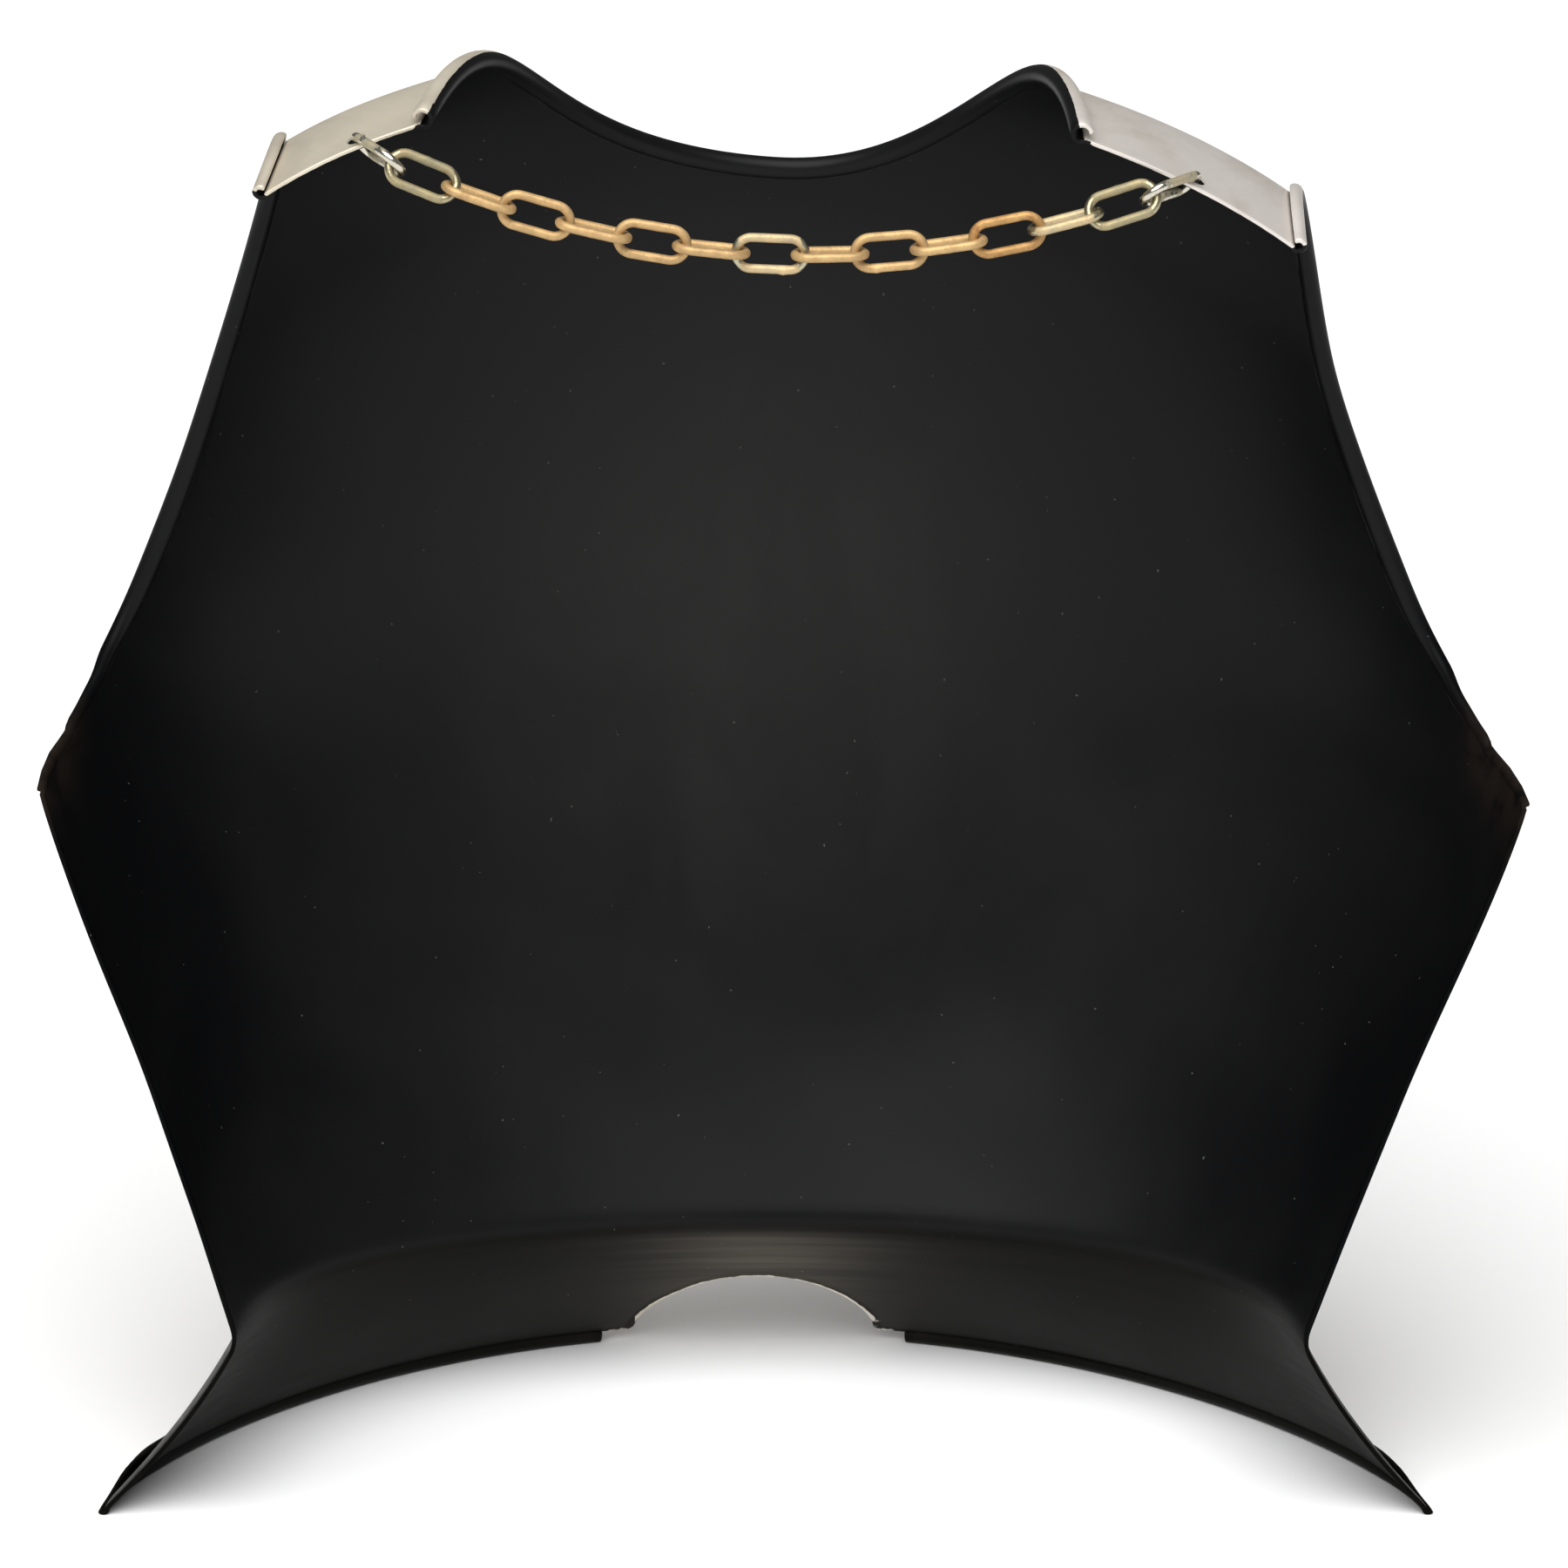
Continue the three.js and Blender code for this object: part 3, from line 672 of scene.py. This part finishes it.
# Satin black paint inside, brushed steel outside, worn through to the steel along the arch
def plate_material():
    n = Nodes("painted_steel")
    paint = n.attribute("paint")
    flange = n.attribute("flange")
    patina = n.attribute("patina")
    here = n.place()
    ragged = n.noise(here, 420.0, 4.0, 0.6)
    patches = n.noise(here, 90.0, 3.0, 0.55)
    painted = n.span(n.math("ADD", paint, n.centred(ragged, 0.5)), 0.44, 0.52)
    scuffed = n.math("ADD", n.attribute("worn"), n.centred(patches, 0.9))
    scuffed = n.math("ADD", scuffed, n.centred(ragged, 0.5))
    worn = n.span(scuffed, 0.52, 0.68)
    painted = n.math("MULTIPLY", painted, n.math("SUBTRACT", 1.0, worn))

    clouds = n.noise(here, 9.0, 3.0, 0.55, 0.6)
    streaks = n.noise(n.place((6.0, 60.0, 420.0)), 1.0, 4.0, 0.6)
    smudges = n.noise(n.place((24.0, 24.0, 11.0)), 1.0, 5.0, 0.62, 0.9)
    black = n.blend(n.span(clouds, 0.3, 0.7), (0.0022, 0.0024, 0.0028), (0.0042, 0.0043, 0.0044))
    olive = n.blend(n.span(streaks, 0.3, 0.75), (0.0022, 0.0021, 0.0016), (0.0044, 0.0041, 0.0033))
    # Painted highlight: the middle of the flange is lightened, in streaks, where light reflects off it
    sheen = n.math("MULTIPLY", n.attribute("flange_painted_highlight"), n.span(streaks, 0.25, 0.75, 0.45, 1.0))
    olive = n.blend(sheen, olive, (0.078, 0.069, 0.056))
    black = n.blend(flange, black, olive)
    # Painted sheen: the middle of the chest is lightened in blotches, where light reflects in the paint
    wear_and_painted_sheen = n.math("MULTIPLY", n.attribute("wear_and_painted_sheen"), n.span(smudges, 0.2, 0.8, 0.6, 1.0))
    black = n.blend(wear_and_painted_sheen, black, (0.0190, 0.0187, 0.0180))
    brown = n.math("MULTIPLY", patina, n.span(patches, 0.3, 0.6))
    black = n.blend(brown, black, (0.017, 0.012, 0.009))
    chafed = n.math("MULTIPLY", n.attribute("crease"), n.span(patches, 0.42, 0.66))
    black = n.blend(n.math("MULTIPLY", chafed, 0.7), black, (0.055, 0.052, 0.050))
    dust = n.span(n.noise(here, 700.0, 1.0, 0.3), 0.80, 0.84)
    black = n.blend(n.math("MULTIPLY", dust, 0.5), black, (0.12, 0.12, 0.11))

    brushed = n.noise(n.place((14.0, 160.0, 900.0)), 1.0, 3.0, 0.6)
    stain = n.noise(here, 26.0, 4.0, 0.6, 0.8)
    steel = n.blend(n.span(n.across(), -0.12, 0.12), (0.80, 0.75, 0.70), (0.74, 0.67, 0.54))
    steel = n.blend(n.span(stain, 0.4, 0.8), steel, (0.56, 0.50, 0.41))

    color = n.blend(painted, steel, black)
    metallic = n.mix(painted, 0.55, 0.0)
    paint_rough = n.mix(n.span(clouds, 0.3, 0.7), 0.38, 0.46)
    paint_rough = n.math("ADD", paint_rough, n.centred(smudges, 0.16))
    paint_rough = n.math("ADD", paint_rough, n.math("MULTIPLY", n.centred(streaks, 0.25), flange))
    steel_rough = n.mix(brushed, 0.38, 0.54)
    rough = n.mix(painted, steel_rough, paint_rough)

    peel = n.noise(here, 900.0, 2.0, 0.5)
    height = n.math("MULTIPLY", peel, 0.12)
    height = n.math("ADD", height, n.math("MULTIPLY", n.mix(painted, brushed, 0.0), 0.25))
    height = n.math("ADD", height, n.math("MULTIPLY", painted, 0.5))
    shine = n.mix(flange, 0.145, 0.07)
    shine = n.mix(n.span(n.attribute("edge"), 0.7, 0.88), shine, 0.02)
    n.put(shine, n.shader.inputs["Specular IOR Level"])
    return n.finish(color, metallic, rough, n.bump(height, 0.0001, 0.8))


plate = make_object("plate", vertices, faces, plate_material())


# The hole in each shoulder
def shoulder_hole(side):
    neck_share = NECK_LEFT if side > 0 else NECK_RIGHT
    hole_across = HOLE_ACROSS_LEFT if side > 0 else HOLE_ACROSS_RIGHT
    across = side * mix(neck_share, 1.0, hole_across)
    step = 0.01
    edge = plate_point(across, 1.0)
    rise = 1 - HOLE_FROM_EDGE * step / np.linalg.norm(edge - plate_point(across, 1 - step))
    middle = plate_point(across, rise)
    rear = plate_point(across, rise + step) - middle
    beside = plate_point(across - side * step, rise) - middle
    outside = np.cross(rear, beside) * side
    return middle, outside / np.linalg.norm(outside)


HOLE_SIDES = 32
DRILL_REACH = 3


def cut_holes():
    turns = np.linspace(0, 2 * np.pi, HOLE_SIDES + 1)[:-1]
    ring = [(math.cos(a) * HOLE / 2, math.sin(a) * HOLE / 2) for a in turns]
    walls = [
        (i, (i + 1) % HOLE_SIDES, (i + 1) % HOLE_SIDES + HOLE_SIDES, i + HOLE_SIDES)
        for i in range(HOLE_SIDES)
    ]
    walls += [tuple(range(HOLE_SIDES - 1, -1, -1)), tuple(range(HOLE_SIDES, 2 * HOLE_SIDES))]
    for side in (1, -1):
        middle, outside = shoulder_hole(side)
        across = Vector(outside).to_track_quat("Z", "Y").to_matrix()
        corners = [
            Vector(middle) + across @ Vector((x, y, z))
            for z in (-DRILL_REACH, DRILL_REACH) for x, y in ring
        ]
        drill = make_object("drill", corners, walls, plate.data.materials[0])
        cut = plate.modifiers.new("hole", "BOOLEAN")
        cut.operation = "DIFFERENCE"
        cut.solver = "EXACT"
        cut.object = drill
        with bpy.context.temp_override(object=plate, active_object=plate):
            bpy.ops.object.modifier_apply(modifier=cut.name)
        bpy.data.objects.remove(drill)


cut_holes()


# The height in millimetres at which the patina at the armpits is strongest
ARMPIT_HEIGHT = 214.0


def hump(value, middle, reach):
    """A smooth bump of height one about a middle."""
    return np.exp(-(((value - middle) / reach) ** 2))


def give_values():
    """Puts what the material reads on the cut mesh, from the nearest vertex before the cut."""
    tree = KDTree(len(vertices))
    for i, p in enumerate(vertices):
        tree.insert(p, i)
    tree.balance()
    mesh = plate.data
    place = np.zeros(len(mesh.vertices) * 3)
    mesh.vertices.foreach_get("co", place)
    place = place.reshape(-1, 3)
    nearest = np.array([tree.find(p)[1] for p in place])
    x, y, z = place.T
    near_rim = rim_value[nearest]
    in_arch = (np.abs(x) < 44) * (z < 40) * (z > 9.5)
    at_arch_ends = hump(np.abs(x), 40.0, 9.0) * (z < 24) * (y < -60)
    worn = in_arch * 0.75 * smooth(0.86, 0.97, near_rim)
    worn = worn + at_arch_ends * 0.6 * smooth(0.45, 0.95, near_rim)
    values = {
        "paint": paint_value[nearest],
        "flange": 1.0 - smooth(50.0, 53.0, z),
        "worn": worn,
        "patina": hump(z, ARMPIT_HEIGHT, 15.0) * smooth(186, 197, np.abs(x)),
        # Painted highlight: the mask that lightens the middle of the flange
        "flange_painted_highlight": hump(x, 0.0, 30.0) * (1.0 - smooth(44.0, 52.0, z)),
        "crease": crease_value[nearest],
        "edge": near_rim * (z < SPRAY_TOP),
        # Painted sheen: the mask that lightens the middle of the chest
        "wear_and_painted_sheen": hump(x, 5.0, 75.0) * hump(z, 235.0, 80.0),
    }
    for name, value in values.items():
        attribute = mesh.attributes.new(name, "FLOAT", "POINT")
        attribute.data.foreach_set("value", np.asarray(value, np.float32))
    mesh.transform(Matrix.Translation(Vector(SHIFT * MM)) @ Matrix.Scale(MM, 4))
    mesh.polygons.foreach_set("use_smooth", [True] * len(mesh.polygons))
    mesh.set_sharp_from_angle(angle=math.radians(58))
    mesh.update()


give_values()
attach(plate, "root")
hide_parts("breastplate")


# Oblong links of round wire
WIRE = 2.4
LINK_WIDTH = 10.6
LINK_INSIDE = 15.7
LINK_SIDES = 20
BEND_STEPS = 18
STRAIGHT_STEPS = 14


def link_shape(nub_side, nub_place, nub_size, waver):
    """A link along X, lying in the XY plane, with a butt weld on one of its straight sides."""
    bend = (LINK_WIDTH - WIRE) / 2
    straight = LINK_INSIDE + WIRE - 2 * bend
    line = []
    for end in (0, 1):
        for step in range(BEND_STEPS + 1):
            angle = (end + step / BEND_STEPS - 0.5) * math.pi
            out = np.array([math.cos(angle), math.sin(angle), 0.0])
            line.append((np.array([(0.5 - end) * straight, 0, 0]) + out * bend, out))
        out = np.array([0.0, 1.0 if end == 0 else -1.0, 0.0])
        for step in range(1, STRAIGHT_STEPS):
            x = (0.5 - end) * straight * (1 - 2 * step / STRAIGHT_STEPS)
            line.append((np.array([x, 0, 0]) + out * bend, out))
    flat = np.array([0.0, 0.0, 1.0])
    vertices, faces = [], []
    for index, (centre, out) in enumerate(line):
        on_nub_side = abs(out[1]) > 0.999 and out[1] * nub_side > 0
        seam = math.exp(-(((centre[0] - nub_place) / 0.75) ** 2)) if on_nub_side else 0.0
        crease = math.exp(-(((centre[0] - nub_place) / 0.22) ** 2)) if on_nub_side else 0.0
        for i in range(LINK_SIDES):
            angle = 2 * math.pi * i / LINK_SIDES
            side = out * math.cos(angle) + flat * math.sin(angle)
            radius = WIRE / 2 - 0.01 + 0.012 * math.sin(index * 0.7 + waver) * math.cos(angle + waver)
            flash = max(0.0, math.cos(angle - 0.9)) ** 4
            radius += seam * (0.07 + nub_size * flash) - crease * 0.06
            vertices.append(centre + side * radius)
        after = (index + 1) % len(line)
        for i in range(LINK_SIDES):
            j = (i + 1) % LINK_SIDES
            faces.append((
                index * LINK_SIDES + i, after * LINK_SIDES + i,
                after * LINK_SIDES + j, index * LINK_SIDES + j,
            ))
    return np.array(vertices), faces


RUST = (0.30, 0.105, 0.03)


def link_material(name, plating, dull, bare, bare_share, rust_share, bare_rough=0.34):
    """Plating that is matte and blotchy, worn through at the ends and along the outside."""
    n = Nodes(name)
    here = n.place()
    worn_here = n.attribute("rub")
    blotches = n.noise(here, 170.0, 4.0, 0.6, 0.4)
    grain = n.noise(here, 1300.0, 3.0, 0.6)
    rust = n.noise(here, 330.0, 3.0, 0.6, 0.5)
    color = n.blend(n.span(blotches, 0.32, 0.68), plating, dull)
    rusted = n.math("MULTIPLY", n.span(rust, 0.52, 0.72), rust_share)
    color = n.blend(rusted, color, RUST)
    # On the links this mask is only the plating worn through to the bare wire
    wear_and_painted_sheen = n.math("ADD", worn_here, n.math("MULTIPLY", n.math("SUBTRACT", blotches, 0.5), 1.6))
    wear_and_painted_sheen = n.math("ADD", wear_and_painted_sheen, n.math("MULTIPLY", n.math("SUBTRACT", grain, 0.5), 0.3))
    wear_and_painted_sheen = n.span(wear_and_painted_sheen, 1.0 - bare_share, 1.12 - bare_share)
    color = n.blend(wear_and_painted_sheen, color, bare)
    color = n.blend(n.math("MULTIPLY", n.span(grain, 0.5, 0.8), 0.35), color, (0.16, 0.12, 0.07))
    metallic = n.mix(wear_and_painted_sheen, 0.55, 1.0)
    rough = n.mix(wear_and_painted_sheen, n.mix(grain, 0.48, 0.68), bare_rough)
    height = n.math("ADD", n.math("MULTIPLY", grain, 0.4), n.math("MULTIPLY", blotches, 0.6))
    height = n.math("SUBTRACT", height, n.math("MULTIPLY", wear_and_painted_sheen, 0.15))
    return n.finish(color, metallic, rough, n.bump(height, 0.00016, 0.9))


BRASS = ((0.66, 0.44, 0.20), (0.50, 0.33, 0.15))
NICKEL = (0.50, 0.45, 0.31)

# Plating, duller plating, the bare wire, the shares of bare and rust, and the bare roughness
link_materials = {
    "brass": link_material("brass_plating", *BRASS, NICKEL, 0.12, 0.25),
    "rusty": link_material(
        "brass_plating_rusty", (0.62, 0.37, 0.14), (0.44, 0.25, 0.09),
        NICKEL, 0.12, 0.6,
    ),
    "pale": link_material(
        "brass_plating_pale", (0.66, 0.50, 0.28), (0.50, 0.42, 0.26),
        (0.54, 0.50, 0.35), 0.55, 0.2,
    ),
    "worn": link_material(
        "brass_plating_worn", (0.42, 0.35, 0.19), (0.30, 0.27, 0.17),
        (0.44, 0.39, 0.25), 0.6, 0.15,
    ),
    "bare": link_material(
        "bare_wire", (0.46, 0.40, 0.27), (0.36, 0.33, 0.24),
        (0.66, 0.62, 0.52), 0.95, 0.1, 0.2,
    ),
}
LINK_KINDS = {
    "end_link_left": "bare", "end_link_right": "bare", "chain_link_01": "worn",
    "chain_link_13": "worn", "chain_link_12": "pale", "chain_link_11": "rusty",
    "chain_link_07": "pale",
}


def link_place(node):
    """The middle and the directions of a CAD link: its long way, across it, and off its flat."""
    place = np.array([tuple(v.co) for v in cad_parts[node].data.vertices]) / MM
    middle = place.mean(0)
    spread = place - middle
    _, _, axes = np.linalg.svd(spread, full_matrices=False)
    along = axes[0] * (1 if axes[0][0] < 0 else -1)
    flat = axes[2] - along * np.dot(axes[2], along)
    flat /= np.linalg.norm(flat)
    if flat[np.argmax(np.abs(flat))] < 0:
        flat = -flat
    return middle, along, np.cross(flat, along), flat


def add_links():
    names = sorted(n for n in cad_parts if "link" in n)
    for index, node in enumerate(names):
        kind = LINK_KINDS.get(node, "brass")
        big_nub = {"chain_link_07": (-1, 3.4, 0.42), "chain_link_09": (-1, -3.6, 0.36)}
        side, place, size = big_nub.get(node, (-1 if index % 2 else 1, 0.4 * (index % 3 - 1), 0.10))
        shape, link_faces = link_shape(side, place, size, index * 1.7)
        middle, along, beside, flat = link_place(node)
        turned = middle + shape @ np.array([along, beside, flat])
        piece = make_object(node.replace("link", "oval"), turned * MM, link_faces, link_materials[kind])
        rub = 0.62 * smooth(0.55, 1.0, np.abs(shape[:, 0]) / (LINK_INSIDE / 2 + WIRE / 2))
        inside = smooth(1.0, -0.4, (np.abs(shape[:, 0]) - LINK_INSIDE / 2) / WIRE)
        attribute = piece.data.attributes.new("rub", "FLOAT", "POINT")
        attribute.data.foreach_set("value", np.asarray(rub + 0.2 * inside * rub, np.float32))
        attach(piece, "root")
        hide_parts(node)


add_links()


# Pale floor, a wide disc, in metres
FLOOR_RADIUS = 9.0
FLOOR_SIDES = 64


def make_floor():
    n = Nodes("pale_floor")
    here = n.place()
    tint = n.blend(n.noise(here, 2.0, 2.0), (0.93, 0.93, 0.93), (0.95, 0.95, 0.95))
    material = n.finish(tint, 0.0, 0.9, n.bump(n.noise(here, 300.0, 2.0), 0.00005, 0.1))
    n.shader.inputs["Specular IOR Level"].default_value = 0.1
    turns = np.linspace(0, 2 * np.pi, FLOOR_SIDES + 1)[:-1]
    corners = [(math.cos(a) * FLOOR_RADIUS, math.sin(a) * FLOOR_RADIUS, 0.0) for a in turns]
    floor = make_object("floor", corners, [tuple(range(FLOOR_SIDES))], material)


make_floor()


# Broad light from above on the hollow's side, on a pale floor that lights the hollow from below
def make_light():
    world = bpy.data.worlds.new("studio")
    bpy.context.scene.world = world
    world.use_nodes = True
    world.node_tree.nodes["Background"].inputs["Color"].default_value = (1.0, 1.0, 1.0, 1.0)
    world.node_tree.nodes["Background"].inputs["Strength"].default_value = 0.16
    data = bpy.data.lights.new("overhead", "SUN")
    data.energy = 4.1
    data.angle = math.radians(66)
    light = bpy.data.objects.new("overhead", data)
    light.rotation_euler = Vector((-0.16, -0.64, -1.0)).to_track_quat("-Z", "Y").to_euler()
    bpy.context.scene.collection.objects.link(light)
    bpy.context.scene.view_settings.view_transform = "Standard"


make_light()
